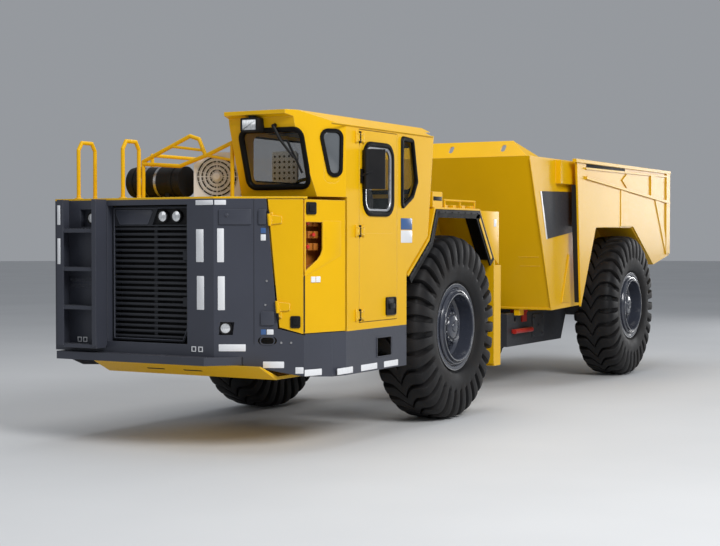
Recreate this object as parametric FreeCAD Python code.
"""Underground mining truck: an articulated dump truck with a side cab, built as separate pieces.

Units are millimetres.  +X is forward, +Y is the driver's left, +Z is up.
The origin is on the ground below the articulation pins, at the middle of the machine.
"""
import FreeCAD
import Part
import math
import os

V = FreeCAD.Vector

# ---------------------------------------------------------------- driving dimensions: running gear
front_axle_x = 1735.0
rear_axle_x = -2995.0
wheel_track = 1832.0
tyre_radius = 810.0
tyre_width = 477.0
lug_count = 32
groove_depth = 42.0
chevron_half = 105.0
chevron_turn = 0.85
centre_groove = 0.18
middle_groove = 0.24
shoulder_groove = 0.38
bead_radius = 318.0
bead_clearance = 0.5
flange_radius = 381.0
rim_half_width = 200.0
rim_wall = 18.0
disc_inset = 95.0
disc_thickness = 28.0
hub_radius = 120.0
hub_clearance = 0.05
hub_cover_radius = 95.0
hub_cover_reach = 10.0
lip_reach = 233.0
lip_radius = 298.0
stud_seat_radius = 235.0
stud_seat_height = 12.0
axle_tube_radius = 130.0
differential_radius = 245.0
wheel_clearance = 12.0

# drive line
drive_line_z = 700.0
drive_line_radius = 48.0
drive_flange_radius = 72.0
drive_room_radius = 85.0
drive_gap = 110.0

# beyond the machine on every side
far = 6000.0

# ---------------------------------------------------------------- driving dimensions: front module
front_x = 4435.0
nose_left_y = 420.0
chamfer_x = 4111.0
chamfer_y = 1005.0
facet_x = 3665.0
side_y = 1105.0
side_split_x = facet_x + 150.0
deck_z = 1885.0
deck_plate = 15.0
panel = 12.0
apron_bottom_z = 545.0
chamfer_low_z = 568.0
paint_line_z = 880.0
apron_back_x = 2665.0
module_back_x = 775.0
bumper_z = 650.0
bumper_thickness = 60.0
bumper_reach = 100.0
ledge_low_y = -1010.0
ledge_end = 205.0
beam_reach = 575.0
belly_thickness = 25.0
belly_front_x = 4160.0
belly_back_x = 3100.0
belly_half = 790.0
belly_slot = 150.0
belly_slot_y = -340.0
belly_slot_pitch = 320.0
pocket_back = 250.0
pocket_width = 250.0
pocket_rise = 105.0
pocket_height = 150.0
hood_back_gap = 30.0
hood_wall_inset = 70.0
hood_wall_rise = 420.0
fit_gap = 6.0
hatch_hinge_stand = 14.0
door_hinge_stand = 9.0

# tow pin and tie-down holes
tow_bore_x = 4480.0
tow_bore_radius = 32.0
tie_bore_radius = 25.0
tie_down_y = 330.0
rear_eye_x = -1010.0
rear_eye_z = 725.0
rear_eye_radius = 30.0

# lamps and openings of the nose
lamp_depth = 60.0
small_lamp_radius = 38.0
ladder_recess = (-858.0, -690.0, 1672.0, 1824.0)
fog_recess = [(28.0, 866.0), (148.0, 866.0), (160.0, 978.0), (40.0, 978.0)]
fog_lamp_d = 85.0
fog_lamp_z = 924.0
tow_slot_radius = 27.0
tow_slot_d0 = 352.0
tow_slot_d1 = 440.0
tow_slot_z = 832.0
roof_lamp_radius = 62.0
roof_lamp_edge = 120.0

# side hatch on the chamfer
hatch_top_d = 395.0
hatch_low_d = 480.0
hatch_low_z = 876.0
hatch_low_rise = 50.0

# recess between hatch and cab
bay_edge = 22.0
bay_low_z = 1322.0
bay_rise = 145.0
bay_high_z = 1712.0
bay_depth = 142.0

# grille door
grille_low_y = -575.0
grille_high_y = 170.0
grille_low_z = 805.0
grille_high_z = 1835.0
grille_inset = 60.0
grille_thickness = 34.0
radiator_gap = 40.0
radiator_depth = 160.0
radiator_edge = 20.0
radiator_rise = 150.0
grille_border = 14.0
grille_stile = 40.0
grille_corner_y = 67.0
grille_corner_z = 146.0
grille_head_z = 1684.0
grille_spine_y = -190.0
grille_lamp_y = -23.0
grille_lamp_pitch = 128.0
grille_lamp_z = 1757.0
grille_lamp_radius = 43.0
lamp_recess = 16.0
slat_count = 21
slat_height = 20.0
grille_barrel_radius = 10.0
grille_hinge_zs = (1110.0, 1460.0)
door_swing_gap = 8.0

# engine and its gearbox
engine_back_x = 2500.0
engine_front_x = 3900.0
engine_low_y = -400.0
engine_high_y = 240.0
engine_low_z = 900.0
engine_high_z = 1700.0

# ladder at the front right corner
ladder_reach = 130.0
ladder_outer_y = -975.0
ladder_inner_y = -590.0
stringer_wall = 12.0
step_pitch = 297.0
step_count = 4
first_step_z = 772.0

# rails, air cleaner and fan housing on the deck
rail_radius = 16.0
hoop_back_x = 4100.0
hoop_front_x = 4300.0
hoop_top_z = 2350.0
guard_rail_x = 3960.0
side_rail_back_x = 2500.0
side_rail_front_x = 3300.0
side_rail_y = -1020.0
side_rail_z = 2300.0
guard_post_y = -600.0
guard_end_y = 262.0
guard_high_bends = [(2205.0, -600.0), (2394.0, -139.0), (2367.0, -52.0), (2240.0, 9.0)]
guard_low_bends = [(2186.0, -600.0), (2161.0, -237.0), (2240.0, 24.0), (2330.0, 262.0)]
cleaner_x = 3800.0
cleaner_z = 2045.0
cleaner_low_y = -810.0
cleaner_high_y = -285.0
cleaner_radius = 122.0
fan_x = 3650.0
fan_y = -60.0
fan_z = 2078.0
fan_radius = 168.0
fan_depth = 380.0
fan_width = 370.0
fan_height = 370.0
fan_turn_deg = 25.0

# frame of the front module
frame_half_width = 460.0
frame_plate = 30.0
frame_low_z = 560.0
frame_top_z = 1200.0
frame_front_x = 4100.0
frame_back_x = 860.0
frame_middle_x = 2300.0

# fenders
fender_thickness = 16.0
fender_top_z = 1858.0
fender_slope_x = 1215.0
fender_back_x = 885.0
fender_back_z = 1400.0
fender_low_z = 420.0
fender_inner_y = 640.0
fender_post_x = 745.0

# articulation
hitch_radius = 160.0
hitch_pin_radius = 60.0
hitch_pin_clearance = 0.05
hitch_ear = 60.0
hitch_ear_gap = 10.0
hitch_low_z = 480.0
hitch_high_z = 1120.0
hitch_web_x = 430.0
hitch_web_half = 170.0
hitch_high_root_x = 650.0
steer_limit_deg = 42.5

# cab
cab_inner_y = 300.0
cab_front_low_x = 3885.0
cab_front_high_x = 4055.0
cab_eave_z = 2450.0
cab_glass_height = 545.0
cab_sill_z = cab_eave_z - cab_glass_height
cab_roof_rise = 100.0
cab_roof_z = cab_eave_z + cab_roof_rise
facet_front_y = 982.0
cab_roof_front_x = 4125.0
cab_roof_back_x = 1985.0
cab_back_x = 2165.0
cab_back_low_x = 2275.0
cab_arch_high_z = 1610.0
cab_arch_low_z = 1310.0
cab_wall = 40.0
cab_floor_z = 980.0
cab_notch_y = 480.0
cab_notch_z = 1220.0
cab_roof_slope_y = 205.0
glass_thickness = 8.0
window_rise = 80.0
window_drop = 50.0
window_corner = 60.0
front_window_edge = 95.0
front_window_post = 57.0
right_window_back = 245.0
right_window_front = 105.0
rear_window_edge = 120.0
rear_window_post = 145.0
quarter_gap = 80.0
facet_window_edge = 47.0
facet_window_width = 120.0
facet_window_corner = 45.0

# operator's place
chair_x = 2950.0
chair_length = 450.0
chair_low_y = 480.0
chair_width = 450.0
chair_z = 1420.0
chair_pad = 120.0
chair_back_height = 600.0
chair_back_lean = 50.0
dash_gap = 7.0
dash_depth = 58.0
dash_low_y = 530.0
dash_high_y = 980.0
wheel_x = 3426.0
wheel_z = 1968.0
hand_wheel_radius = 170.0

# cab door
door_front_x = 3455.0
door_back_x = 2835.0
door_low_z = paint_line_z + 60.0
door_high_z = cab_eave_z - 18.0
door_thickness = 38.0
mirror_drop = 375.0
mirror_x = 3350.0
door_window_rise = 690.0
door_window_drop = 92.0
door_barrel_radius = 8.0
door_hinge_zs = (995.0, 1647.0, 2373.0)

# tipping body
bed_front_top_x = -355.0
bed_front_top_z = 2400.0
bed_front_low_x = -955.0
bed_floor_z = 835.0
bed_rim_z = 2430.0
bed_well_back_x = -1835.0
bed_well_top_x = -1465.0
bed_well_half = 940.0
bed_side_half = 1060.0
bed_trough_half = 620.0
bed_trough_z = 1285.0
bed_step_z = 1715.0
bed_plate = 22.0
bed_split_x = -1700.0
bed_back_x = -4565.0
bed_back_z = 1380.0
bed_heel_x = -3945.0
bed_heel_z = 1270.0
arch_front_x = -1905.0
arch_back_x = -3175.0
skirt_half = 1082.0
skirt_top_x = -1313.0
skirt_tip_x = -1451.0
skirt_tip_z = 858.0
skirt_bar = 16.0
rim_rail_x = -1240.0
rails_front_x = -1550.0
second_rail_drop = 94.0
second_rail_depth = 22.0
slanted_front_drop = 198.0
slanted_back_drop = 404.0
slanted_depth = 32.0
post_back = 585.0
post_width = 180.0
diamond_x = -2910.0
diamond_drop = 170.0
rib_x = -2825.0
bed_box_front_x = -1060.0
bed_box_back_x = -1530.0
bed_box_half = 1000.0
bed_box_low_z = 2170.0
bed_box_high_z = 2420.0
bracket_y = 512.0
bracket_width = 60.0
bracket_low_z = 770.0
guard_height = 200.0
guard_top_z = bed_front_top_z + guard_height
guard_lean = 190.0
guard_half = 672.0
guard_thickness = 20.0
guard_slot_y = 595.0
guard_slot_drop = 80.0
guard_corner_x = -800.0

# tipping gear
tip_x = -3865.0
tip_z = 1100.0
tip_limit_deg = 68.0
tip_pin_radius = 45.0
tip_boss_radius = 115.0
hoist_low_x = -1500.0
hoist_low_z = 520.0
hoist_high_x = -3000.0
hoist_high_z = 1195.0
hoist_y = 330.0
hoist_barrel_radius = 80.0
hoist_rod_radius = 50.0
hoist_barrel_length = 1330.0

# steering cylinders
steer_front_x = 760.0
steer_rear_x = -620.0
steer_y = 400.0
steer_z = 890.0
steer_barrel_radius = 65.0
steer_rod_radius = 35.0
steer_barrel_length = 800.0
eye_length = 80.0
eye_gap = 12.0
lug_plate = 22.0
steer_lug_radius = 58.0
hoist_lug_radius = 70.0
lug_clearance = 14.0
steer_retract = 310.0

# frame of the rear module
rear_wall_x = -800.0
rear_wall = 40.0
beam_half = 500.0
beam_width = 60.0
beam_low_z = 440.0
beam_top_z = 790.0
beam_arch_z = 985.0
beam_high_z = 1200.0
lock_bar_radius = 26.0


# ---------------------------------------------------------------- shape helpers
def block(x0, x1, y0, y1, z0, z1):
    """Box between two corners."""
    low = V(min(x0, x1), min(y0, y1), min(z0, z1))
    return Part.makeBox(abs(x1 - x0), abs(y1 - y0), abs(z1 - z0), low)


def side_prism(points, y0, y1):
    """Polygon of (x, z) points in the side view, carried from y0 to y1."""
    loop = [V(x, y0, z) for x, z in points]
    face = Part.Face(Part.makePolygon(loop + [loop[0]]))
    return face.extrude(V(0, y1 - y0, 0))


def plan_prism(points, z0, z1):
    """Polygon of (x, y) points in the plan view, carried from z0 to z1."""
    loop = [V(x, y, z0) for x, y in points]
    face = Part.Face(Part.makePolygon(loop + [loop[0]]))
    return face.extrude(V(0, 0, z1 - z0))


def front_prism(points, x0, x1):
    """Polygon of (y, z) points in the front view, carried from x0 to x1."""
    loop = [V(x0, y, z) for y, z in points]
    face = Part.Face(Part.makePolygon(loop + [loop[0]]))
    return face.extrude(V(x1 - x0, 0, 0))


def rod(start, end, radius):
    """Round bar between two points."""
    along = end - start
    return Part.makeCylinder(radius, along.Length, start, along)


def bar_path(points, radius):
    """Round bars along a list of points with a ball at each inner bend."""
    pieces = [rod(a, b, radius) for a, b in zip(points, points[1:])]
    balls = [Part.makeSphere(radius, p) for p in points[1:-1]]
    return fuse(pieces + balls)


def fuse(shapes):
    """One shape from several that touch."""
    whole = shapes[0]
    if len(shapes) > 1:
        whole = whole.multiFuse(shapes[1:])
    return whole.removeSplitter()


def group(shapes):
    """Separate solids kept together."""
    solids = [solid for shape in shapes for solid in shape.Solids]
    return Part.makeCompound(solids)


def mirrored(shape):
    """Copy on the other side of the machine."""
    return shape.mirror(V(0, 0, 0), V(0, 1, 0))


def both_sides(shape):
    """The shape and its copy on the other side."""
    return [shape, mirrored(shape)]


def offset_plan(points, distance):
    """Plan polygon moved outwards by a distance (inwards when negative)."""
    wire = Part.makePolygon([V(x, y, 0) for x, y in points + [points[0]]])
    moved = wire.makeOffset2D(distance, 2)
    return [(v.X, v.Y) for v in moved.OrderedVertexes]


def save(name, shape):
    """Write one node."""
    if shape.ShapeType != "Compound":
        shape = Part.makeCompound(shape.Solids)
    shape.exportStep("parts/" + name + ".step")
    print(name, len(shape.Solids), "solids", round(shape.Volume / 1e9, 4), "m3", shape.isValid())


# ---------------------------------------------------------------- wheels
def tyre_section():
    """Stations of the tread and rings of the side wall, as distance from the middle plane and radius.

    A station of the tread also has the radius of its groove's floor, its chevron turn in lugs
    and the share of a lug's pitch that the groove takes.
    """
    side = tyre_width / 2
    tread = [
        (0.0, tyre_radius, tyre_radius - groove_depth, 0.0, centre_groove),
        (chevron_half, tyre_radius - 2, tyre_radius - groove_depth - 2, chevron_turn, middle_groove),
        (side - 24, tyre_radius - 30, tyre_radius - groove_depth - 26, chevron_turn, shoulder_groove),
    ]
    bead = (bead_radius + bead_clearance) / math.cos(math.pi / lug_count)
    rings = [
        (side, tyre_radius - 155),
        (side - 14, flange_radius + 75),
        (rim_half_width - 22, flange_radius + 14),
        (rim_half_width - 22, bead),
    ]
    return tread, rings


def wheel_point(x_axle, y, radius, turn):
    """Point of a wheel, its turn counted in lugs from the top towards the front."""
    angle = 2 * math.pi * (turn - (1 - centre_groove) / 2) / lug_count
    return V(x_axle + radius * math.sin(angle), y, tyre_radius + radius * math.cos(angle))


def facet(points):
    """Flat face through three or four points."""
    return Part.Face(Part.makePolygon(points + [points[0]]))


def strip(line_a, line_b):
    """Two triangles between two points of one station and two points of the next."""
    (a0, a1), (b0, b1) = line_a, line_b
    return [facet([a0, a1, b1]), facet([a0, b1, b0])]


def tyre(y_middle, x_axle):
    """Tyre of flat facets: chevron lugs with a groove between each two, side walls and beads."""
    tread, rings = tyre_section()
    faces = []
    for side in (1, -1):
        for lug in range(lug_count):
            edges = []
            for across, top, floor, turn, groove in tread:
                y = y_middle + side * across
                half = (1 - groove) / 2
                edges.append([wheel_point(x_axle, y, top, lug - half - turn),
                              wheel_point(x_axle, y, top, lug + half - turn),
                              wheel_point(x_axle, y, floor, lug + 0.5 - turn),
                              wheel_point(x_axle, y, top, lug + 1 - half - turn)])
            for low, high in zip(edges, edges[1:]):
                for k in range(3):
                    faces += strip(low[k:k + 2], high[k:k + 2])
            ring_lines = []
            for across, radius in rings:
                y = y_middle + side * across
                ring_lines.append([wheel_point(x_axle, y, radius, lug - 0.5 - chevron_turn),
                                   wheel_point(x_axle, y, radius, lug + 0.5 - chevron_turn)])
            last = edges[-1]
            faces += strip(last[0:2], ring_lines[0])
            faces.append(facet([last[1], last[2], ring_lines[0][1]]))
            faces.append(facet([last[2], last[3], ring_lines[0][1]]))
            for low, high in zip(ring_lines, ring_lines[1:]):
                faces.append(facet([low[0], low[1], high[1], high[0]]))
            if side > 0:
                across, radius = rings[-1]
                other = [wheel_point(x_axle, y_middle - across, radius, lug + step - chevron_turn)
                         for step in (-0.5, 0.5)]
                faces.append(facet([ring_lines[-1][0], ring_lines[-1][1], other[1], other[0]]))
    shell = Part.makeShell(faces)
    shell.sewShape()
    solid = Part.makeSolid(Part.makeShell(shell.Faces))
    if solid.Volume < 0:
        solid.reverse()
    return solid


def rim(y_middle, x_axle, outward):
    """Deep dished rim: barrel, two flanges, an outer lip and a disc bored for the hub."""
    w = rim_half_width
    barrel_out = bead_radius
    barrel_in = bead_radius - rim_wall
    flange = w - 20
    outline = [
        (-w, barrel_in), (w - 20, barrel_in), (lip_reach, lip_radius - 10), (lip_reach, lip_radius),
        (w, barrel_in + 10), (w, flange_radius), (flange, flange_radius),
        (flange, barrel_out), (-flange, barrel_out), (-flange, flange_radius), (-w, flange_radius),
    ]
    loop = [V(0, outward * y, r) for y, r in outline]
    barrel = Part.Face(Part.makePolygon(loop + [loop[0]])).revolve(V(0, 0, 0), V(0, 1, 0), 360)
    disc_y = outward * (w - disc_inset)
    far_y = disc_y - outward * disc_thickness
    disc = Part.makeCylinder(barrel_in + 1, disc_thickness, V(0, min(disc_y, far_y), 0), V(0, 1, 0))
    seat = Part.makeCylinder(stud_seat_radius, stud_seat_height,
                             V(0, disc_y, 0), V(0, outward, 0))
    bore = Part.makeCylinder(hub_radius + hub_clearance, 3 * w, V(0, -1.5 * w, 0), V(0, 1, 0))
    whole = fuse([barrel, disc, seat]).cut(bore)
    whole.translate(V(x_axle, y_middle, tyre_radius))
    return whole


def wheel_middle(outward):
    """Y of a wheel's middle plane."""
    return outward * wheel_track / 2


def disc_face(outward):
    """Y of the outer face of a wheel disc."""
    return wheel_middle(outward) + outward * (rim_half_width - disc_inset)


def axle(x_axle, pad_top_z):
    """Axle with its differential, hub ends, brake drums and pads up to the frame."""
    ends = disc_face(1) + 60
    tube = rod(V(x_axle, -ends + 200, tyre_radius), V(x_axle, ends - 200, tyre_radius), axle_tube_radius)
    hubs = rod(V(x_axle, -ends, tyre_radius), V(x_axle, ends, tyre_radius), hub_radius)
    reach = ends + hub_cover_reach
    covers = rod(V(x_axle, -reach, tyre_radius), V(x_axle, reach, tyre_radius), hub_cover_radius)
    drum_end = disc_face(1) - disc_thickness - wheel_clearance
    drum_radius = bead_radius - rim_wall - wheel_clearance
    drum = rod(V(x_axle, drum_end - 170, tyre_radius), V(x_axle, drum_end, tyre_radius), drum_radius)
    bulb = Part.makeSphere(differential_radius, V(x_axle, 0, tyre_radius))
    pad_y = frame_half_width - frame_plate / 2
    pad = block(x_axle - 150, x_axle + 150, pad_y - 60, pad_y + 60, tyre_radius + 60, pad_top_z)
    whole = fuse([tube, hubs, covers, bulb] + both_sides(drum) + both_sides(pad))
    return whole


# ---------------------------------------------------------------- front module: frame
def hitch_ear_plate(low_z, thickness, towards, reach, bore):
    """Flat ear of the articulation, rounded about the pin."""
    nose = Part.makeCylinder(hitch_radius, thickness, V(0, 0, low_z))
    root = plan_prism([(0, -hitch_radius), (towards * reach, -frame_half_width + 130),
                       (towards * reach, frame_half_width - 130), (0, hitch_radius)],
                      low_z, low_z + thickness)
    hole = Part.makeCylinder(bore, 3 * thickness, V(0, 0, low_z - thickness))
    return fuse([nose, root]).cut(hole)


def hitch_levels():
    """Bottom of the front module's ears and of the rear module's ears, low pair then high pair."""
    step = hitch_ear + hitch_ear_gap
    front = (hitch_low_z, hitch_high_z)
    rear = (hitch_low_z + step, hitch_high_z - step)
    return front, rear


def front_frame():
    """Two side plates joined by cross walls, with ears for the articulation and cylinder lugs."""
    plate = block(frame_back_x, frame_front_x, frame_half_width - frame_plate, frame_half_width,
                  frame_low_z, frame_top_z)
    room = block(front_axle_x - 320, front_axle_x + 320, -frame_half_width - 1, frame_half_width + 1,
                 frame_low_z - 1, beam_arch_z)
    walls = [block(x, x + 40, -frame_half_width, frame_half_width, frame_low_z, frame_top_z)
             for x in (frame_back_x, frame_middle_x, frame_front_x - 40)]
    front_levels, rear_levels = hitch_levels()
    ears = [hitch_ear_plate(z, hitch_ear, 1, frame_back_x + 20, hitch_pin_radius) for z in front_levels]
    web = block(hitch_web_x, frame_back_x + 20, hitch_web_half - 25, hitch_web_half,
                hitch_low_z, hitch_high_z + hitch_ear)
    lugs = [cylinder_lug(steer_front_x, frame_back_x + 5, y) for y in (steer_y, -steer_y)]
    whole = fuse([plate, mirrored(plate), web, mirrored(web)] + walls + ears + lugs)
    shaft_room = rod(V(drive_gap, 0, drive_line_z), V(frame_front_x - 200, 0, drive_line_z),
                     drive_room_radius)
    return whole.cut(room).cut(shaft_room).removeSplitter()


def cylinder_lug(pin_x, root_x, y):
    """Pair of flat plates above and below a cylinder's eye."""
    half = eye_length / 2 + eye_gap
    plates = []
    reach = steer_lug_radius
    for low in (steer_z - half - lug_plate, steer_z + half):
        nose = Part.makeCylinder(reach, lug_plate, V(pin_x, y, low))
        root = block(pin_x, root_x, y - reach, y + reach, low, low + lug_plate)
        plates.append(fuse([nose, root]))
    return group(plates)


def hitch_pins():
    """Pin through the low pair of ears and pin through the high pair."""
    front_levels, rear_levels = hitch_levels()
    low = Part.makeCylinder(hitch_pin_radius, 3 * hitch_ear, V(0, 0, front_levels[0] - 20))
    high = Part.makeCylinder(hitch_pin_radius, 3 * hitch_ear, V(0, 0, rear_levels[1] - 20))
    return group([low, high])


def belly_plate():
    """Guard plate below the bumper: a sloping front and a flat bottom against the frame."""
    top = frame_low_z
    low = top - belly_thickness
    profile = [(front_x - 40, bumper_z), (front_x - 65, bumper_z), (belly_front_x - 20, top),
               (belly_back_x, top), (belly_back_x, low), (belly_front_x, low)]
    plate = side_prism(profile, -belly_half, belly_half)
    slots = [block(belly_front_x - 20, belly_front_x - 60, y, y + belly_slot, low - 1, top + 1)
             for y in (belly_slot_y, belly_slot_y + belly_slot_pitch)]
    return plate.cut(group(slots))


# ---------------------------------------------------------------- front module: panels
def nose_outline():
    """Plan outline of the front module from its right rear corner round the nose."""
    return [(module_back_x, -side_y), (front_x, -side_y), (front_x, nose_left_y),
            (chamfer_x, chamfer_y), (facet_x, side_y), (module_back_x, side_y)]


def wall_ring(points, thickness, z0, z1):
    """Upright wall that follows the inside of a closed plan outline."""
    return plan_prism(points, z0, z1).cut(plan_prism(offset_plan(points, -thickness), z0 - 1, z1 + 1))


def grille_room():
    """Space of the grille door through the front wall."""
    return block(front_x - 60, front_x + 50, grille_low_y - door_swing_gap, grille_high_y + door_swing_gap,
                 grille_low_z - door_swing_gap, grille_high_z + door_swing_gap)


def below_walls(gap):
    """Everything below the grey walls, whose lower edge falls from the ledge to the aprons."""
    ledge_top = bumper_z + bumper_thickness
    ledge_back_x = on_chamfer(ledge_end, 0).x - gap
    ahead = front_x + 2 * bumper_reach
    return side_prism([(ahead, 0), (ahead, ledge_top), (ledge_back_x, ledge_top), (ledge_back_x, bumper_z),
                       (chamfer_x, chamfer_low_z), (side_split_x, apron_bottom_z), (side_split_x, 0)],
                      -side_y - 50, side_y + 50)


def tray(points, depth, wall):
    """Lamp tray behind the chamfer panel: its box and the hollow in it."""
    box = chamfer_prism(points, panel / 2, depth + wall)
    inwards = ((1, 1), (-1, 1), (-1, -1), (1, -1))
    rim_points = [(d + wall * a, z + wall * b) for (d, z), (a, b) in zip(points, inwards)]
    hollow = chamfer_prism(rim_points, -50, depth)
    return box, hollow


def tow_slot():
    """Oval slot through the chamfer panel."""
    along, normal = chamfer_frame()
    d0, d1, z, r = tow_slot_d0, tow_slot_d1, tow_slot_z, tow_slot_radius
    ends = [Part.makeCylinder(r, 100, on_chamfer(d, z, 50), normal) for d in (d0, d1)]
    middle = chamfer_prism([(d0, z - r), (d1, z - r), (d1, z + r), (d0, z + r)], -50, 50)
    return fuse(ends + [middle])


def front_shell():
    """Grey front wall with its chamfered corner, side returns, lamp recesses and the grille door's jambs."""
    ring = wall_ring(nose_outline(), panel, apron_bottom_z, deck_z)
    behind = block(-far, side_split_x, -far, far, 0, far)
    left_room = block(facet_x, chamfer_x, 600, side_y + 50, paint_line_z, deck_z + 10)
    shell = ring.cut(behind).cut(left_room).cut(grille_room()).cut(hatch_room()).cut(below_walls(fit_gap))
    jamb_y0 = grille_low_y - door_swing_gap
    jamb_y1 = grille_high_y + door_swing_gap
    jamb_x = front_x - grille_inset - grille_thickness - 20
    low_jamb = block(jamb_x, front_x, jamb_y0 - panel, jamb_y0, bumper_z + bumper_thickness, deck_z)
    high_jamb = block(jamb_x, front_x, jamb_y1, jamb_y1 + panel, bumper_z + bumper_thickness, deck_z)
    fog_box, fog_hollow = tray(fog_recess, lamp_depth, 8)
    y0, y1, z0, z1 = ladder_recess
    ladder_box = block(front_x - lamp_depth - 8, front_x - panel / 2, y0, y1, z0, z1)
    ladder_hollow = block(front_x - lamp_depth, front_x + 50, y0 + 8, y1 - 8, z0 + 8, z1 - 8)
    whole = fuse([shell, low_jamb, high_jamb, fog_box, ladder_box])
    return whole.cut(fog_hollow).cut(ladder_hollow).cut(tow_slot())


def apron(outward):
    """Grey lower skirt of one side, below the paint line."""
    points = nose_outline()
    ring = wall_ring(points, panel, apron_bottom_z, paint_line_z)
    keep = block(apron_back_x, side_split_x, 900, side_y + 50, apron_bottom_z - 1, paint_line_z + 1)
    piece = ring.common(keep)
    x, z = apron_back_x + pocket_back, apron_bottom_z + pocket_rise
    pocket = block(x, x + pocket_width, side_y - 60, side_y + 60, z, z + pocket_height)
    piece = piece.cut(pocket)
    if outward < 0:
        square = block(apron_back_x, side_split_x - fit_gap, side_y - panel, side_y,
                       apron_bottom_z, paint_line_z)
        piece = square.cut(pocket)
        piece = mirrored(piece)
    return piece


def bumper():
    """Thick ledge plate across the nose on a cross beam, with its end run into the chamfer panel."""
    end = on_chamfer(ledge_end, 0)
    back_x = front_x - 80
    ledge = plan_prism([(back_x, ledge_low_y), (front_x + bumper_reach, ledge_low_y),
                        (front_x + bumper_reach, nose_left_y - 20), (end.x, end.y),
                        (end.x, end.y - 70), (back_x, nose_left_y - 40)],
                       bumper_z, bumper_z + bumper_thickness)
    beam = block(frame_front_x + fit_gap, front_x - 75, -beam_reach, beam_reach,
                 bumper_z, bumper_z + bumper_thickness)
    whole = fuse([ledge, beam])
    for y in (0.0, tie_down_y, -tie_down_y):
        radius = tow_bore_radius if y == 0 else tie_bore_radius
        whole = whole.cut(Part.makeCylinder(radius, 200, V(tow_bore_x, y, bumper_z - 50)))
    return whole


def hood():
    """Engine hood: deck plate, right side wall with the wheel arch left open, and its rear wall."""
    outline = nose_outline()
    plate = plan_prism(outline, deck_z, deck_z + deck_plate)
    cab_room = block(cab_back_x - 200, cab_front_high_x + 20, cab_inner_y - fit_gap, side_y + 50,
                     deck_z - 50, deck_z + 50)
    rear_room = block(module_back_x - 10, cab_back_x + 30, -side_y - 10, side_y + 10,
                      deck_z - 50, deck_z + 50)
    plate = plate.cut(cab_room).cut(rear_room)
    front = side_split_x - fit_gap
    back = cab_back_x + hood_back_gap
    right = side_prism([(apron_back_x, paint_line_z), (front, paint_line_z), (front, deck_z), (back, deck_z),
                        (back, cab_arch_high_z + 130), (apron_back_x, cab_arch_low_z)],
                       -side_y, -side_y + panel)
    rear = block(back + hood_wall_inset, back + hood_wall_inset + panel, -side_y, cab_inner_y - fit_gap,
                 frame_top_z + hood_wall_rise, deck_z)
    return fuse([plate, right, rear])


def fender(outward):
    """Arch over a front wheel with its inner wall and the upright guard behind the wheel."""
    t = fender_thickness
    back = fender_back_x
    front = apron_back_x - 25
    line = [(front, cab_arch_low_z - 20), (cab_back_low_x - 25, cab_arch_high_z - 20),
            (cab_back_x - 30, fender_top_z), (fender_slope_x, fender_top_z), (back, fender_back_z),
            (back, fender_low_z)]
    lower = [(front - t, line[0][1] - t), (cab_back_low_x - 35, cab_arch_high_z - 38),
             (cab_back_x - 42, fender_top_z - t), (fender_slope_x + 8, fender_top_z - t),
             (back + t - 1, fender_back_z - 6), (back + t - 1, fender_low_z)]
    band = side_prism(line + lower[::-1], fender_inner_y, side_y)
    foot_z = frame_top_z + 5
    inner = side_prism(line[:5] + [(back, foot_z), (front, foot_z)], fender_inner_y - 20, fender_inner_y + 1)
    post = block(fender_post_x, back + 1, side_y - 90, side_y, fender_low_z - 20, fender_back_z - 60)
    tie = block(back - 25, back + 1, fender_inner_y, side_y, frame_top_z - 100, fender_back_z - 60)
    whole = fuse([band, inner, post, tie])
    if outward < 0:
        whole = mirrored(whole)
    return whole


def radiator():
    """Cooler core behind the grille."""
    back = front_x - grille_inset - grille_thickness - radiator_gap
    return block(back - radiator_depth, back, grille_low_y + radiator_edge, grille_high_y - radiator_edge,
                 bumper_z + radiator_rise, deck_z - radiator_gap)


def engine():
    """Engine and transmission as one plain block."""
    return block(engine_back_x, engine_front_x, engine_low_y, engine_high_y, engine_low_z, engine_high_z)


def grille_outline():
    """Outline of the grille door as (y, z) corners, its lower left corner cut off."""
    return [(grille_low_y, grille_low_z), (grille_high_y - grille_corner_y, grille_low_z),
            (grille_high_y, grille_low_z + grille_corner_z), (grille_high_y, grille_high_z - 35),
            (grille_high_y - 20, grille_high_z), (grille_low_y, grille_high_z)]


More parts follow.
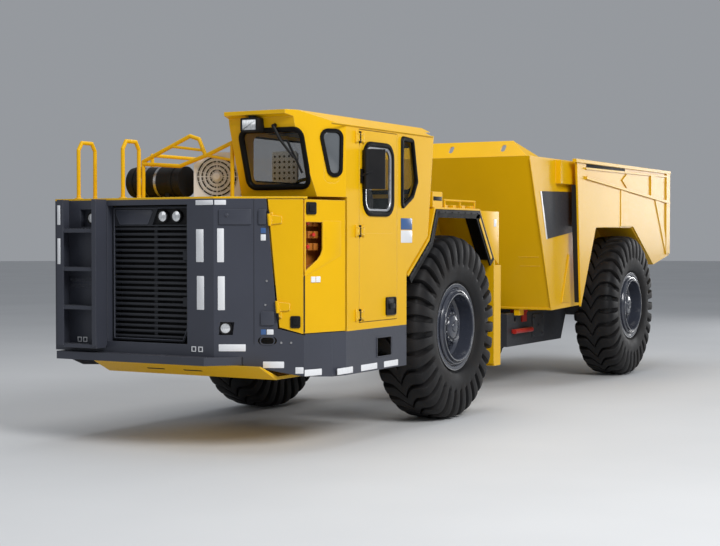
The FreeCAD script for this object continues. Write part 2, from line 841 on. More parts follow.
def grille_door():
    """Door frame filled with slats, a head plate with two lamps in a recess, and hinge barrels."""
    x1 = front_x - grille_inset
    x0 = x1 - grille_thickness
    low_y = grille_low_y + grille_border
    high_y = grille_high_y - grille_stile
    low_z = grille_low_z + grille_border
    opening = [(low_y, low_z), (grille_high_y - grille_corner_y - 8, low_z),
               (high_y, grille_low_z + grille_corner_z - 50), (high_y, grille_head_z), (low_y, grille_head_z)]
    frame = front_prism(grille_outline(), x0, x1).cut(front_prism(opening, x0 - 1, x1 + 1))
    low, high = grille_head_z + 10, grille_high_z - 12
    recess = [(grille_lamp_y - 170, low), (high_y, low), (high_y, high), (grille_lamp_y - 112, high)]
    frame = frame.cut(front_prism(recess, x1 - lamp_recess, x1 + 1))
    lamps_round = []
    for y in (grille_lamp_y - grille_lamp_pitch / 2, grille_lamp_y + grille_lamp_pitch / 2):
        lamps_round.append(rod(V(x1 - lamp_recess - 1, y, grille_lamp_z), V(x1 + 4, y, grille_lamp_z),
                               grille_lamp_radius))
    pitch = (grille_head_z - low_z) / slat_count
    slats = []
    for i in range(slat_count):
        z = low_z + pitch * (i + 0.5)
        low, high = z - slat_height / 2, z + slat_height / 2
        band = side_prism([(x0 + 8, low), (x1 - 6, low), (x1 - 2, z), (x1 - 6, high), (x0 + 8, high)],
                          low_y - 4, high_y + 4)
        slats.append(band.common(front_prism(grille_outline(), x0, x1)))
    spine = block(x0 + 2, x0 + 12, grille_spine_y, grille_spine_y + 30, grille_low_z + 20, grille_head_z + 20)
    hinge_x, hinge_y = grille_hinge()
    barrels = [Part.makeCylinder(grille_barrel_radius, 100, V(hinge_x, hinge_y, z - 50))
               for z in grille_hinge_zs]
    straps = [block(x1 - 1, hinge_x, hinge_y - 60, hinge_y, z - 35, z + 35) for z in grille_hinge_zs]
    return fuse([frame, spine] + slats + lamps_round + barrels + straps)


def grille_hinge():
    """Where the grille door turns: x and y of its upright axis, in the middle of its barrels."""
    return front_x - grille_inset + grille_barrel_radius, grille_high_y - grille_barrel_radius + 3


# ---------------------------------------------------------------- side hatch on the chamfer
def chamfer_frame():
    """Unit vector along the chamfer panel (towards the cab) and its outward normal."""
    along = V(chamfer_x - front_x, chamfer_y - nose_left_y, 0)
    along.normalize()
    normal = V(along.y, -along.x, 0)
    return along, normal


def on_chamfer(distance, z, depth=0.0):
    """Point on the chamfer panel at a distance from its front edge, at a depth behind it."""
    along, normal = chamfer_frame()
    return V(front_x, nose_left_y, 0) + along * distance - normal * depth + V(0, 0, z)


def chamfer_length():
    """Width of the chamfer panel."""
    return math.hypot(chamfer_x - front_x, chamfer_y - nose_left_y)


def hatch_points(grow):
    """Corners of the hatch on the chamfer panel, as (distance from the front edge, z)."""
    end = chamfer_length()
    return [(hatch_top_d - grow, deck_z + grow), (end + grow, deck_z + grow),
            (end + grow, hatch_low_z - grow), (hatch_low_d - grow, hatch_low_z + hatch_low_rise - grow)]


def chamfer_prism(points, depth0, depth1):
    """Polygon on the chamfer panel carried from one depth to another."""
    along, normal = chamfer_frame()
    loop = [on_chamfer(d, z, depth0) for d, z in points]
    face = Part.Face(Part.makePolygon(loop + [loop[0]]))
    return face.extrude(normal * (depth0 - depth1))


def hatch_room():
    """Room for the hatch in the front shell."""
    return chamfer_prism(hatch_points(fit_gap), -60, 60)


def side_hatch():
    """Yellow hatch with a slanted hinge edge and two barrels."""
    points = hatch_points(-fit_gap)
    leaf = chamfer_prism(points, 0, 20)
    low, high = hatch_axis()
    along = high - low
    barrels = []
    for share in (0.16, 0.84):
        middle = low + along * share
        unit = V(along)
        unit.normalize()
        barrels.append(Part.makeCylinder(13, 90, middle - unit * 45, unit))
        barrels.append(chamfer_prism(hinge_strap(share), -12, 1))
    return fuse([leaf] + barrels)


def hinge_strap(share):
    """Strap that joins a barrel to the leaf, as (distance, z) corners on the chamfer panel."""
    points = hatch_points(-fit_gap)
    d = points[3][0] + (points[0][0] - points[3][0]) * share
    z = points[3][1] + (points[0][1] - points[3][1]) * share
    return [(d + 4, z - 35), (d + 90, z - 25), (d + 90, z + 25), (d + 4, z + 35)]


def hatch_axis():
    """Low and high end of the hatch's slanted hinge line."""
    points = hatch_points(-fit_gap)
    low = on_chamfer(points[3][0] - 2, points[3][1], -hatch_hinge_stand)
    high = on_chamfer(points[0][0] - 2, points[0][1], -hatch_hinge_stand)
    return low, high


def service_bay():
    """Yellow panel between hatch and cab with a slanted recess that holds a row of valves."""
    start = V(chamfer_x, chamfer_y, 0)
    end = V(facet_x, side_y, 0)
    along = end - start
    length = along.Length
    along.normalize()
    normal = V(along.y, -along.x, 0)

    def prism(points, depth0, depth1):
        """Polygon of (distance, z) points in the panel's own directions."""
        loop = [start + along * d + V(0, 0, z) - normal * depth0 for d, z in points]
        return Part.Face(Part.makePolygon(loop + [loop[0]])).extrude(normal * (depth0 - depth1))

    def slab(d0, d1, z0, z1, depth0, depth1):
        """Block in the panel's own directions."""
        return prism([(d0, z0), (d1, z0), (d1, z1), (d0, z1)], depth0, depth1)

    last = length - bay_edge - 40
    mouth = [(bay_edge, bay_low_z), (last, bay_low_z + bay_rise), (last, bay_high_z), (bay_edge, bay_high_z)]
    rim_points = [(bay_edge - 8, bay_low_z - 12), (last + 8, bay_low_z + bay_rise - 4),
                  (last + 8, bay_high_z + 8), (bay_edge - 8, bay_high_z + 8)]
    plate = slab(12, length - 4, paint_line_z + fit_gap, deck_z - fit_gap, 4, 4 + panel)
    recess = prism(rim_points, 16, bay_depth + 8).cut(prism(mouth, -5, bay_depth))
    valves = []
    for i in range(3):
        for j in range(1, 4):
            d, z = 50 + 62 * i, bay_low_z + 90 + 90 * j
            valves.append(slab(d, d + 45, z, z + 50, 70, bay_depth + 1))
    return fuse([plate.cut(prism(mouth, -5, 60)), recess] + valves)


# ---------------------------------------------------------------- ladder, rails and deck items
def front_ladder():
    """Two stringers, steps between them."""
    x0 = front_x
    x1 = front_x + ladder_reach
    outer = block(x0, x1, ladder_outer_y, ladder_outer_y + stringer_wall, bumper_z + 110, deck_z + 5)
    lip = block(x1 - stringer_wall, x1, ladder_outer_y, ladder_outer_y + 60, bumper_z + 110, deck_z + 5)
    inner = block(x0, x1, ladder_inner_y - stringer_wall, ladder_inner_y, bumper_z + 110, deck_z + 5)
    inner_lip = block(x1 - stringer_wall, x1, ladder_inner_y - 40, ladder_inner_y, bumper_z + 110, deck_z + 5)
    steps = []
    for i in range(step_count):
        z = first_step_z + step_pitch * i
        steps.append(block(x0 + 10, x1 - 8, ladder_outer_y, ladder_inner_y, z - 28, z))
    foot = block(x0, x1, ladder_outer_y, ladder_outer_y + 60, bumper_z + 108, bumper_z + 120)
    return fuse([outer, lip, inner, inner_lip, foot] + steps)


def deck_rails():
    """Grab hoops beside the ladder, the side rail and the bent guard rails in front of the deck items."""
    r = rail_radius
    z0 = deck_z + deck_plate
    hoops = []
    bend_z = hoop_top_z - 60
    for y in (ladder_outer_y - 5, ladder_inner_y + 55):
        points = [V(hoop_back_x, y, z0), V(hoop_back_x, y, bend_z), V(hoop_back_x + 40, y, hoop_top_z),
                  V(hoop_front_x - 40, y, hoop_top_z), V(hoop_front_x, y, bend_z), V(hoop_front_x, y, z0)]
        hoops.append(bar_path(points, r))
    back, front, side, top = side_rail_back_x, side_rail_front_x, side_rail_y, side_rail_z
    rail = bar_path([V(front, side, z0), V(front, side, top), V(back, side, top), V(back, side, z0)], r)
    middle = rod(V(front, side, (z0 + top) / 2), V(back, side, (z0 + top) / 2), r * 0.8)
    x = guard_rail_x
    high_bends = [V(x, y, z) for z, y in guard_high_bends]
    low_bends = [V(x, y, z) for z, y in guard_low_bends]
    high = bar_path([V(x, guard_post_y, z0)] + high_bends, r)
    low = bar_path(low_bends + [V(x, guard_end_y, z0)], r)
    brace_start = high_bends[0] + (high_bends[1] - high_bends[0]) * 0.6
    braces = [rod(brace_start, high_bends[2] + (high_bends[3] - high_bends[2]) * 0.7, r * 0.7),
              rod(high_bends[3], V(x, guard_end_y, high_bends[3].z - 45), r * 0.7)]
    return group(hoops + [fuse([rail, middle]), fuse([high, low] + braces)])


def air_cleaner():
    """Lying canister with end caps and two feet."""
    y0, y1 = cleaner_low_y, cleaner_high_y
    body = rod(V(cleaner_x, y0, cleaner_z), V(cleaner_x, y1, cleaner_z), cleaner_radius)
    caps = [rod(V(cleaner_x, y, cleaner_z), V(cleaner_x, y + 35, cleaner_z), cleaner_radius + 6)
            for y in (y0 + 30, y1 - 110)]
    feet = [block(cleaner_x - 80, cleaner_x + 80, y, y + 40, deck_z + deck_plate, cleaner_z - 45)
            for y in (y0 + 100, y1 - 160)]
    middle = (y0 + y1) / 2
    outlet = rod(V(cleaner_x, middle, cleaner_z), V(cleaner_x - 240, middle, cleaner_z), 60)
    return fuse([body, outlet] + caps + feet)


def fan_box():
    """White fan housing, turned a little outwards, with a ringed guard over its round opening."""
    z0 = deck_z + deck_plate
    x1, y1 = fan_depth / 2, fan_width / 2
    top = z0 + fan_height
    outline = [(-y1, z0), (y1, z0), (y1, top), (-y1 + 130, top), (-y1, top - 95)]
    hollow = [(-y1 + 12, z0 + 12), (y1 - 12, z0 + 12), (y1 - 12, top - 12), (-y1 + 135, top - 12),
              (-y1 + 12, top - 101)]
    shell = front_prism(outline, -x1, x1).cut(front_prism(hollow, -x1 + 12, x1 - 12))
    shell = shell.cut(Part.makeCylinder(fan_radius, 60, V(x1 - 30, 0, fan_z), V(1, 0, 0)))
    rings = [Part.makeTorus(fan_radius * share, 5, V(x1 - 6, 0, fan_z), V(1, 0, 0))
             for share in (1.0, 0.8, 0.6, 0.4, 0.2)]
    reach = fan_radius + 4
    cross = [block(x1 - 10, x1 - 3, -reach, reach, fan_z - 4, fan_z + 4),
             block(x1 - 10, x1 - 3, -4, 4, fan_z - reach, fan_z + reach)]
    whole = fuse([shell] + rings + cross)
    whole.rotate(V(0, 0, 0), V(0, 0, 1), fan_turn_deg)
    whole.translate(V(fan_x, fan_y, 0))
    return whole


# ---------------------------------------------------------------- cab
def facet_line_y(x):
    """Y of the cab's front left facet at a given x."""
    slope = (side_y - facet_front_y) / (cab_front_low_x - facet_x)
    return side_y - slope * (x - facet_x)


def facet_cutter(inset):
    """Everything outside the front left facet of the cab."""
    ahead = cab_roof_front_x + 300
    return plan_prism([(facet_x, side_y - inset), (ahead, facet_line_y(ahead) - inset), (ahead, side_y + 300),
                       (facet_x, side_y + 300)], 0, far)


def cab_profile(inset):
    """Side outline of the cab, moved inwards by a wall."""
    i = inset
    return [
        (apron_back_x + i, paint_line_z + i), (facet_x - 20 - i, paint_line_z + i),
        (facet_x - 20 - i, cab_sill_z + i), (cab_front_low_x - i, cab_sill_z + i),
        (cab_front_high_x - i, cab_eave_z), (cab_front_high_x + 15 - i, cab_roof_z - i),
        (cab_back_x - 60 + i, cab_roof_z - i), (cab_back_x + i, cab_eave_z),
        (cab_back_low_x + i, cab_arch_high_z + i * 0.6), (apron_back_x + i, cab_arch_low_z + i * 0.6),
    ]


def roof_slope(inset):
    """Cutter that slopes the roof down to the left side."""
    high = side_y - cab_roof_slope_y
    y = side_y + 1
    return front_prism([(high - inset * 0.4, cab_roof_z - inset), (y, cab_eave_z - inset * 0.6),
                        (y + 200, cab_eave_z), (y + 200, cab_roof_z + 200),
                        (high - inset * 0.4, cab_roof_z + 200)],
                       cab_roof_back_x - 500, cab_roof_front_x + 500)


def frame_notch(inset):
    """Step in the cab's lower right side that leaves room for the frame."""
    return block(0, far, 0, cab_notch_y + inset, 0, cab_notch_z + inset)


def cab_outer():
    """Cab as a solid block."""
    body = side_prism(cab_profile(0), cab_inner_y, side_y)
    brow = side_prism([(cab_front_high_x - 60, cab_eave_z + 30), (cab_roof_front_x, cab_eave_z + 70),
                       (cab_roof_front_x, cab_roof_z), (cab_roof_back_x, cab_roof_z),
                       (cab_roof_back_x, cab_roof_z - 40), (cab_back_x + 60, cab_eave_z + 40)],
                      cab_inner_y, side_y)
    return fuse([body, brow]).cut(facet_cutter(0)).cut(roof_slope(0)).cut(frame_notch(0))


def cab_inner():
    """Air inside the cab."""
    return cab_outer_offset(cab_wall)


def rounded_block(x0, x1, y0, y1, z0, z1, radius, axis):
    """Box with the four edges along one axis rounded."""
    shape = block(x0, x1, y0, y1, z0, z1)
    edges = []
    for edge in shape.Edges:
        way = edge.tangentAt(edge.FirstParameter)
        if abs(getattr(way, axis)) > 0.99:
            edges.append(edge)
    return shape.makeFillet(radius, edges)


def window_cutters():
    """Window openings by name."""
    wide = 60
    cutters = {}
    low, high = cab_sill_z + window_rise, cab_eave_z - window_drop
    cutters["front"] = rounded_block(cab_front_low_x - 300, cab_front_high_x + 200,
                                     cab_inner_y + front_window_edge, facet_front_y - front_window_post,
                                     low, high, window_corner, "x")
    cutters["right"] = rounded_block(cab_back_low_x + right_window_back, cab_front_low_x - right_window_front,
                                     cab_inner_y - wide, cab_inner_y + wide, low + 45, high - 10,
                                     window_corner, "y")
    cutters["rear"] = rounded_block(cab_back_x - 200, cab_back_low_x + 60, cab_inner_y + rear_window_edge,
                                    side_y - rear_window_post, low + 5, high - 20, window_corner, "x")
    back = door_back_x - quarter_gap
    cutters["quarter"] = side_prism([(back, high + 15), (back - 200, high + 5), (back - 275, high - 340),
                                     (back - 195, high - 470), (back, high - 570)],
                                    side_y - wide, side_y + wide)
    return cutters


def facet_window():
    """Window opening in the front left facet."""
    back = facet_x + facet_window_edge
    return rounded_block(back, back + facet_window_width, side_y - 200, side_y + 200,
                         cab_sill_z + window_rise + 25, cab_eave_z - window_drop + 10, facet_window_corner, "y")


def door_opening(grow):
    """Door opening in the cab's side."""
    return block(door_back_x - grow, door_front_x + grow, side_y - cab_wall - 30, side_y + 60,
                 door_low_z - grow, door_high_z + grow)


def all_windows():
    """Every window opening as one list."""
    return list(window_cutters().values()) + [facet_window()]


def cab_body():
    """Hollow cab with its windows and its door opening cut."""
    shell = cab_outer().cut(cab_inner())
    for cutter in all_windows():
        shell = shell.cut(cutter)
    floor = block(apron_back_x + 20, facet_x - 40, cab_notch_y + 20, side_y - 60,
                  cab_floor_z, cab_floor_z + 30)
    floor = floor.cut(facet_cutter(20))
    return fuse([shell.cut(door_opening(fit_gap)), floor])


def cab_glass():
    """Fixed panes, each a thin slab in the middle of the cab's wall."""
    middle = cab_wall / 2
    half = glass_thickness / 2
    layer = cab_outer_offset(middle - half).cut(cab_outer_offset(middle + half))
    panes = []
    for cutter in all_windows():
        pane = layer.common(cutter)
        panes += [solid for solid in pane.Solids]
    return group(panes)


def cab_outer_offset(inset):
    """Cab block shrunk by an inset."""
    body = side_prism(cab_profile(inset), cab_inner_y + inset, side_y - inset)
    return body.cut(facet_cutter(inset)).cut(roof_slope(inset)).cut(frame_notch(inset))


def cab_door():
    """Door leaf with its window opening, latch plate and hinge barrels."""
    leaf = block(door_back_x, door_front_x, side_y - door_thickness, side_y, door_low_z, door_high_z)
    leaf = leaf.cut(door_window())
    latch = block(door_back_x + 40, door_back_x + 130, side_y - 1, side_y + 8,
                  door_low_z + 70, door_low_z + 170)
    hinge_x, hinge_y = door_hinge()
    barrels = []
    for z in door_hinge_zs:
        barrels.append(Part.makeCylinder(door_barrel_radius, 90, V(hinge_x, hinge_y, z - 45)))
        barrels.append(block(hinge_x - 70, hinge_x, side_y - 1, hinge_y, z - 28, z + 28))
    return fuse([leaf, latch] + barrels)


def door_hinge():
    """Where the cab door turns: x and y of its upright axis, in the middle of its barrels."""
    return door_front_x + 3, side_y + door_hinge_stand


def door_window():
    """Window opening of the door."""
    return rounded_block(door_back_x + 55, door_front_x - 45, side_y - 100, side_y + 100,
                         door_low_z + door_window_rise, door_high_z - door_window_drop, 50, "y")


def door_glass():
    """Pane of the door."""
    y1 = side_y - door_thickness / 2 + glass_thickness / 2
    slab = block(door_back_x, door_front_x, y1 - glass_thickness, y1, door_low_z, door_high_z)
    return slab.common(door_window())


def operator_chair():
    """Chair cushion, back and pedestal as plain closed forms."""
    high_y = chair_low_y + chair_width
    top_z = chair_z + chair_pad
    cushion = block(chair_x, chair_x + chair_length, chair_low_y, high_y, chair_z, top_z)
    back = side_prism([(chair_x - 70, top_z - 20), (chair_x + 50, top_z - 20),
                       (chair_x + 50 - chair_back_lean, top_z - 20 + chair_back_height),
                       (chair_x - 50 - chair_back_lean, top_z - 20 + chair_back_height)],
                      chair_low_y + 10, high_y - 10)
    pedestal = block(chair_x + 70, chair_x + chair_length - 80, chair_low_y + 80, high_y - 80,
                     cab_floor_z + 30, chair_z + 1)
    return fuse([cushion, back, pedestal])


def cab_console():
    """Dash and steering column in front of the operator."""
    front = facet_x - 20 - cab_wall - dash_gap
    back = front - dash_depth
    dash = side_prism([(back, cab_floor_z + 30), (front, cab_floor_z + 30), (front, cab_sill_z),
                       (back, cab_sill_z + 25), (back - 90, cab_sill_z - 25), (back - 40, cab_sill_z - 405)],
                      dash_low_y, dash_high_y)
    y = chair_low_y + chair_width / 2
    column = rod(V(wheel_x + 94, y, wheel_z - 188), V(wheel_x + 4, y, wheel_z - 8), 28)
    wheel = Part.makeTorus(hand_wheel_radius, 14, V(wheel_x, y, wheel_z), V(-0.49, 0, 0.87))
    spoke = rod(V(wheel_x, y - hand_wheel_radius, wheel_z), V(wheel_x, y + hand_wheel_radius, wheel_z), 10)
    return fuse([dash, column, spoke, wheel])


def cab_mirror():
    """Mirror on its arm, bolted to the front stile of the cab door."""
    x = door_front_x - 25
    z = cab_eave_z - mirror_drop
    foot = block(x - 14, x + 14, side_y, side_y + 12, z - 55, z + 55)
    arm = bar_path([V(x, side_y + 6, z), V(x, side_y + 50, z + 20), V(mirror_x, side_y + 80, z + 45)], 11)
    return fuse([foot, arm, mirror_head()])


def mirror_head():
    """Housing of the mirror, turned to face the driver."""
    head = rounded_block(-95, 95, -24, 24, 0, 310, 20, "z")
    head.rotate(V(0, 0, 0), V(0, 0, 1), -30)
    head.translate(V(mirror_x - 5, side_y + 72, cab_eave_z - mirror_drop - 100))
    return head


def lamps():
    """Lamp bodies in the ladder's recess, in the nose's recess and below the cab's brow."""
    along, normal = chamfer_frame()
    y0, y1, z0, z1 = ladder_recess
    x = front_x - lamp_depth
    y, z = y1 - small_lamp_radius - 12, (z0 + z1) / 2
    ladder_lamp = rod(V(x, y, z), V(front_x - 12, y, z), small_lamp_radius)
    fog_lamp = Part.makeCylinder(small_lamp_radius, lamp_depth - 12,
                                 on_chamfer(fog_lamp_d, fog_lamp_z, lamp_depth), normal)
    return group([ladder_lamp, fog_lamp, roof_lamp()])


def roof_lamp():
    """Lamp on the cab's upper front edge."""
    x = cab_front_high_x + 20
    y, z = cab_inner_y + roof_lamp_edge, cab_eave_z - 30
    return rod(V(x, y, z), V(x + 75, y, z), roof_lamp_radius)


# ---------------------------------------------------------------- rear module
def rear_frame():
    """Two beams that arch over the axle, a front wall, and ears for the articulation."""
    axle_x = rear_axle_x
    beam_points = [(rear_wall_x, beam_low_z), (axle_x + 645, beam_low_z), (axle_x + 355, beam_arch_z),
                   (axle_x - 355, beam_arch_z), (tip_x, tip_z - tip_boss_radius),
                   (tip_x, tip_z + tip_boss_radius * 0.85), (axle_x + 495, beam_high_z),
                   (axle_x + 795, beam_top_z), (rear_wall_x, beam_top_z)]
    beam = side_prism(beam_points, beam_half - beam_width, beam_half)
    boss = Part.makeCylinder(tip_boss_radius, beam_width, V(tip_x, beam_half - beam_width, tip_z), V(0, 1, 0))
    beam = fuse([beam, boss])
    inside = beam_half - 2 * beam_width
    bore = Part.makeCylinder(tip_pin_radius, 3 * beam_width, V(tip_x, inside, tip_z), V(0, 1, 0))
    eye = Part.makeCylinder(rear_eye_radius, 3 * beam_width, V(rear_eye_x, inside, rear_eye_z), V(0, 1, 0))
    beam = beam.cut(bore).cut(eye)
    walls = [block(rear_wall_x - rear_wall, rear_wall_x, -beam_half, beam_half, beam_low_z, beam_top_z),
             block(axle_x + 755, axle_x + 795, -beam_half, beam_half, beam_low_z + 40, beam_top_z - 100),
             block(tip_x + 165, tip_x + 205, -beam_half, beam_half, beam_arch_z + 40, beam_high_z - 40)]
    front_levels, rear_levels = hitch_levels()
    hole = hitch_pin_radius + hitch_pin_clearance
    low_ear = hitch_ear_plate(rear_levels[0], hitch_ear, -1, -rear_wall_x + 5, hole)
    high_ear = hitch_ear_plate(rear_levels[1], hitch_ear, -1, hitch_high_root_x - 10, hole)
    web_top_z = rear_levels[1] + hitch_ear
    web = side_prism([(-hitch_web_x, rear_levels[0]), (rear_wall_x - 5, rear_levels[0]),
                      (rear_wall_x - 5, beam_top_z), (-hitch_high_root_x, web_top_z), (-hitch_web_x, web_top_z)],
                     hitch_web_half - 25, hitch_web_half)
    lugs = [cylinder_lug(steer_rear_x, rear_wall_x - 5, y) for y in (steer_y, -steer_y)]
    hoist_lugs = [hoist_lug(y) for y in (hoist_y, -hoist_y)]
    cross = block(hoist_low_x + 90, hoist_low_x + 130, -beam_half, beam_half, beam_low_z, beam_top_z - 120)
    whole = fuse([beam, mirrored(beam), low_ear, high_ear, web, mirrored(web), cross] + walls + hoist_lugs)
    shaft_room = rod(V(-drive_gap, 0, drive_line_z), V(rear_axle_x + 350, 0, drive_line_z), drive_room_radius)
    return whole.cut(shaft_room).removeSplitter()


def hoist_lug(y):
    """Pair of plates at the foot of a hoist cylinder."""
    half = eye_length / 2 + eye_gap
    plates = []
    for low in (y - half - lug_plate, y + half):
        nose = Part.makeCylinder(hoist_lug_radius, lug_plate, V(hoist_low_x, low, hoist_low_z), V(0, 1, 0))
        root = block(hoist_low_x, hoist_low_x + 95, low, low + lug_plate, hoist_low_z - 70, hoist_low_z + 70)
        plates.append(fuse([nose, root]))
    return group(plates)


def lock_bar():
    """Red locking bar stowed along the rear frame's left side."""
    y = beam_half + 32
    bar = rod(V(-900, y + 10, 600), V(-1375, y + 10, 600), lock_bar_radius)
    feet = [block(x, x + 40, beam_half, y + 10, 580, 620) for x in (-960, -1330)]
    return fuse([bar] + feet)


# ---------------------------------------------------------------- tipping body
def front_wall_x(z):
    """X of the body's leaning front face at a height."""
    lean = (bed_front_low_x - bed_front_top_x) / (bed_floor_z - bed_front_top_z)
    return bed_front_top_x + lean * (z - bed_front_top_z)


def bed_well(w):
    """Deep front part of the body, w inside its outer faces."""
    top = bed_rim_z + (5 if w else 0)
    return side_prism([(front_wall_x(top) - w * 1.07, top), (bed_front_low_x - w, bed_floor_z + w),
                       (bed_well_back_x + w * 0.2, bed_floor_z + 25 + w), (bed_well_top_x - 300, top)],
                      -bed_well_half + w, bed_well_half - w)


def bed_trough(w):
    """Narrow lower part of the body between the wheels."""
    back = bed_back_x - (5 if w else 0)
    return side_prism([(bed_well_back_x + 120, bed_trough_z + w), (bed_heel_x, bed_heel_z + w),
                       (back, bed_back_z + w), (back, bed_step_z + 60),
                       (bed_well_back_x + 120, bed_step_z + 60)],
                      -bed_trough_half + w, bed_trough_half - w)


def bed_upper(w):
    """Wide upper part of the body above the wheels."""
    back = bed_back_x - (5 if w else 0)
    top = bed_rim_z + (5 if w else 0)
    return side_prism([(bed_well_top_x - 300, top), (bed_well_back_x + 60, bed_step_z + w),
                       (arch_back_x + w * 0.5, bed_step_z + w), (bed_heel_x + w * 0.3, bed_heel_z + w),
                       (back, bed_back_z + w), (back, top)],
                      -bed_side_half + w, bed_side_half - w)


def bed_skirt():
    """Outer cheek of the body round the rear wheel, left side, with its rails, posts and ribs."""
    y0, y1 = skirt_half - 1, skirt_half + skirt_bar
    rim, back = bed_rim_z, bed_back_x
    plate = side_prism([(skirt_top_x, rim), (skirt_top_x - 33, rim - 322), (skirt_tip_x, skirt_tip_z),
                        (arch_front_x, bed_step_z - 5), (arch_back_x, bed_step_z + 15),
                        (bed_heel_x, bed_heel_z), (back, bed_back_z), (back, rim)],
                       bed_side_half - 1, skirt_half)
    rail = block(back, rim_rail_x, bed_side_half - 1, skirt_half + skirt_bar + 6, rim - 28, rim + 8)
    low, high = rim - second_rail_drop, rim - second_rail_drop + 20
    second = side_prism([(rails_front_x, low), (rails_front_x, low + second_rail_depth),
                         (back + 86, high + second_rail_depth), (back + 86, high)], y0, y1)
    low, high = rim - slanted_front_drop, rim - slanted_back_drop
    slanted = side_prism([(rails_front_x - 19, low), (rails_front_x - 19, low + slanted_depth),
                          (back + 9, high + slanted_depth), (back + 9, high)], y0, y1 + 6)
    posts = [block(back + post_back, back + post_back + post_width, y0, y1, high + 54, rim - 70),
             block(back, back + 145, y0, y1, bed_back_z + 20, rim - 27)]
    gusset = side_prism([(back + post_back, high + 42), (back + 140, bed_back_z + 10),
                         (back + 140, bed_back_z + 170), (back + post_back - 200, high + 29)], y0, y1 - 6)
    x, z = diamond_x, rim - diamond_drop
    diamond = side_prism([(x + 160, z), (x, z + 80), (x - 160, z), (x, z - 80)], y0, y1 - 4)
    rib = block(rib_x - 105, rib_x + 105, y0, y1 - 8, bed_step_z + 15, rim - 280)
    return fuse([plate, rail, second, slanted, gusset, diamond, rib] + posts)


def spill_guard():
    """Plate on top of the front wall that leans back, with three slots and a facet at each end."""
    low = bed_rim_z - 40
    x = front_wall_x(low)
    top_x = x - guard_lean

    def wall(points):
        """Plate through three or four points, as thick as the guard, towards the load."""
        return facet(points).extrude(V(-guard_thickness, 0, 0))

    plate = wall([V(x, -bed_well_half, low), V(x, bed_well_half, low), V(top_x, guard_half, guard_top_z),
                  V(top_x, -guard_half, guard_top_z)])
    for y in (-guard_slot_y, 0.0, guard_slot_y):
        z = guard_top_z - guard_slot_drop
        slot = rounded_block(-400, 400, y - 26, y + 26, z - 36, z + 36, 22, "x")
        slot.translate(V(x, 0, 0))
        plate = plate.cut(slot)
    corner = facet([V(x, bed_well_half, low), V(top_x, guard_half, guard_top_z),
                    V(guard_corner_x, bed_well_half, low)]).extrude(V(0, -guard_thickness, 0))
    return fuse([plate, corner, mirrored(corner)])


def dump_bed():
    """Front half with the deep well and the spill guard, and rear half with cheeks, ears and pins."""
    w = bed_plate
    outer = fuse([bed_well(0), bed_trough(0), bed_upper(0)])
    inner = fuse([bed_well(w), bed_trough(w), bed_upper(w)])
    shell = outer.cut(inner)
    skirt = bed_skirt()
    link = block(bed_split_x - 5, bed_split_x - 120, bed_well_half - 5, bed_side_half, bed_step_z + 40,
                 bed_step_z + 60)
    ear_y = beam_half + 8
    ear = side_prism([(tip_x - 80, tip_z), (tip_x - 160, bed_heel_z + 40), (tip_x + 260, bed_trough_z + 10),
                      (tip_x + 80, tip_z)], ear_y, ear_y + 30)
    boss = Part.makeCylinder(95, 30, V(tip_x, ear_y, tip_z), V(0, 1, 0))
    pin = Part.makeCylinder(tip_pin_radius - 0.05, beam_width + 40,
                            V(tip_x, beam_half - beam_width + 5, tip_z), V(0, 1, 0))
    rod_lug = hoist_top_lug(hoist_y)
    left = [skirt, link, ear, boss, pin] + rod_lug
    right = [mirrored(shape) for shape in left]
    front_room = block(bed_split_x, 0, -far, far, 0, far)
    rear_room = block(-far, bed_split_x, -far, far, 0, far)
    side_box = block(bed_box_front_x, bed_box_back_x, bed_well_half - 2, bed_box_half,
                     bed_box_low_z, bed_box_high_z)
    box_foot = block(bed_box_back_x, bed_box_back_x + 80, bed_well_half - 2, bed_side_half - 1, bed_box_low_z,
                     bed_box_high_z)
    bracket = block(bed_front_low_x - 5, bed_front_low_x - 125, bracket_y, bracket_y + bracket_width,
                    bracket_low_z, bed_floor_z + 5)
    fittings = [side_box, box_foot, bracket]
    front = fuse([shell.common(front_room), spill_guard()] + fittings + [mirrored(s) for s in fittings])
    rear = fuse([shell.common(rear_room)] + left + right)
    return front, rear


def hoist_top_lug(y):
    """Pair of plates below the body floor beside the rod's eye."""
    half = eye_length / 2 + eye_gap
    plates = []
    for low in (y - half - lug_plate, y + half):
        root_z, end_z = bed_trough_z + 5, hoist_high_z - 55
        plates.append(side_prism([(hoist_high_x - 70, root_z), (hoist_high_x - 60, end_z),
                                  (hoist_high_x + 60, end_z), (hoist_high_x + 90, root_z)],
                                 low, low + lug_plate))
    return plates


# ---------------------------------------------------------------- cylinders and shafts
def cylinder_pair(start, end, radius, rod_radius, length, eye_axis, lug_radius, retract):
    """Barrel with its foot eye and bore, and the rod with its eye."""
    along = end - start
    along.normalize()
    body = rod(start + along * (lug_radius + lug_clearance), start + along * length, radius)
    gland = rod(start + along * (length - 45), start + along * length, radius + 8)
    neck = rod(start, start + along * (lug_radius + lug_clearance + 1), radius * 0.55)
    eye = rod(start - eye_axis * (eye_length / 2), start + eye_axis * (eye_length / 2), lug_radius - 8)
    bore_start = start + along * (lug_radius + 60)
    bore = rod(bore_start, start + along * (length + 50), rod_radius + 0.5)
    tube = fuse([body, gland, neck, eye]).cut(bore)
    shaft = rod(bore_start + along * (retract + 20), end, rod_radius)
    rod_eye = rod(end - eye_axis * (eye_length / 2), end + eye_axis * (eye_length / 2), lug_radius - 12)
    return tube, fuse([shaft, rod_eye])


def steer_cylinder(side):
    """Steering cylinder of one side."""
    start = V(steer_front_x, side * steer_y, steer_z)
    end = V(steer_rear_x, side * steer_y, steer_z)
    return cylinder_pair(start, end, steer_barrel_radius, steer_rod_radius, steer_barrel_length,
                         V(0, 0, 1), steer_lug_radius, steer_retract)


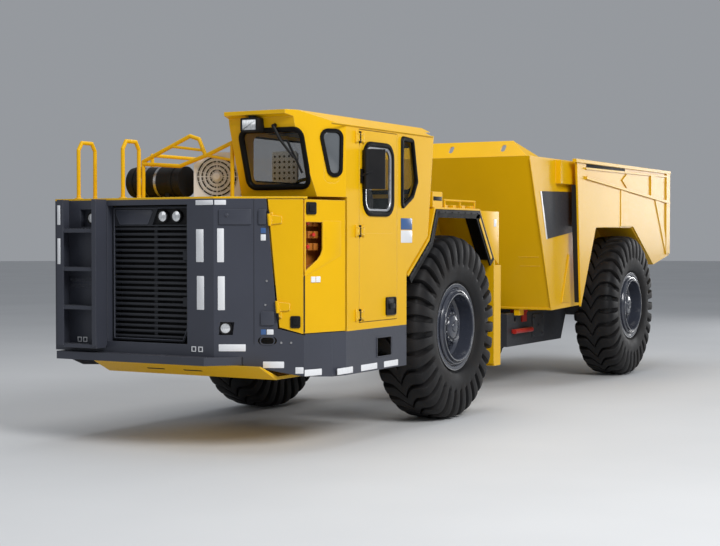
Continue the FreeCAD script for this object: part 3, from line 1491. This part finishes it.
def hoist_cylinder(side):
    """Hoist cylinder of one side."""
    start = V(hoist_low_x, side * hoist_y, hoist_low_z)
    end = V(hoist_high_x, side * hoist_y, hoist_high_z)
    return cylinder_pair(start, end, hoist_barrel_radius, hoist_rod_radius, hoist_barrel_length,
                         V(0, 1, 0), hoist_lug_radius, 0.0)


def drive_shaft(x0, x1):
    """Drive line tube with a joint flange at each end."""
    z = drive_line_z
    tube = rod(V(x0, 0, z), V(x1, 0, z), drive_line_radius)
    flanges = [rod(V(x0, 0, z), V(x0 + 30, 0, z), drive_flange_radius),
               rod(V(x1 - 30, 0, z), V(x1, 0, z), drive_flange_radius)]
    return fuse([tube] + flanges)


# ---------------------------------------------------------------- writing
def main():
    """Make every node."""
    os.makedirs("parts", exist_ok=True)
    save("front_frame", front_frame())
    save("hitch_pins", hitch_pins())
    save("belly_plate", belly_plate())
    save("bumper", bumper())
    save("front_shell", front_shell())
    save("side_aprons", group([apron(1), apron(-1)]))
    save("engine_hood", hood())
    save("fenders", group([fender(1), fender(-1)]))
    save("radiator", radiator())
    save("engine", engine())
    save("grille_door", grille_door())
    save("side_hatch", side_hatch())
    save("service_bay", service_bay())
    save("front_ladder", front_ladder())
    save("deck_rails", deck_rails())
    save("air_cleaner", air_cleaner())
    save("fan_box", fan_box())
    save("cab_body", cab_body())
    save("cab_glass", cab_glass())
    save("cab_door", cab_door())
    save("door_glass", door_glass())
    save("operator_chair", operator_chair())
    save("cab_console", cab_console())
    save("cab_mirror", cab_mirror())
    save("work_lamps", lamps())
    save("front_axle", axle(front_axle_x, beam_arch_z))
    for end, x_axle in (("front", front_axle_x), ("rear", rear_axle_x)):
        for side, outward in (("left", 1), ("right", -1)):
            save("tyre_" + end + "_" + side, tyre(wheel_middle(outward), x_axle))
            save("rim_" + end + "_" + side, rim(wheel_middle(outward), x_axle, outward))
    save("rear_frame", rear_frame())
    save("rear_axle", axle(rear_axle_x, beam_arch_z))
    save("lock_bar", lock_bar())
    bed_front, bed_rear = dump_bed()
    save("bed_front", bed_front)
    save("bed_rear", bed_rear)
    for side, outward in (("left", 1), ("right", -1)):
        tube, shaft = steer_cylinder(outward)
        save("steer_barrel_" + side, tube)
        save("steer_rod_" + side, shaft)
    pairs = [hoist_cylinder(side) for side in (1, -1)]
    save("hoist_barrels", group([pair[0] for pair in pairs]))
    save("hoist_rods", group([pair[1] for pair in pairs]))
    save("front_drive_shaft", drive_shaft(drive_gap, front_axle_x - 260))
    save("rear_drive_shaft", drive_shaft(rear_axle_x + 260, -drive_gap))


main()
